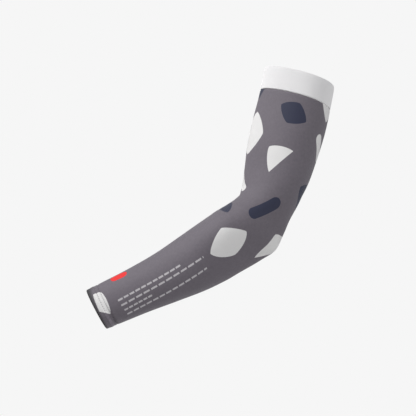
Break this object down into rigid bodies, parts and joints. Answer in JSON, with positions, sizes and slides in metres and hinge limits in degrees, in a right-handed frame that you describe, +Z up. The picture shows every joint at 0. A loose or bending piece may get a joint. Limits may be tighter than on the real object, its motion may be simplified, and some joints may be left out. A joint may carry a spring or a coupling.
{
  "type": "arm warmer",
  "caption": "Arm warmer in the shape of a bent arm: a patterned stretch-knit sleeve, open at both ends, with a turned wrist hem and a wide elastic band at the top.",
  "frame": {"origin": "centre of the upper opening, inside the elastic band's top edge, where the upper arm goes in", "axes": "+Z up, with the upper arm's end at the top; +X towards the elbow's side of the bend, so the forearm points to -X; +Y away from the side that faces outwards"},
  "size_m": [0.3222, 0.1144, 0.3406],
  "materials": {
    "knit": "smooth matt stretch knit, mauve grey with an off-white and navy print",
    "hem_knit": "plain back of the knit, matt grey",
    "elastic": "smooth off-white elastic"
  },
  "bodies": {
    "root": {"sleeve": "knit", "wrist_hem": "hem_knit", "upper_band": "elastic"}
  },
  "joints": []
}
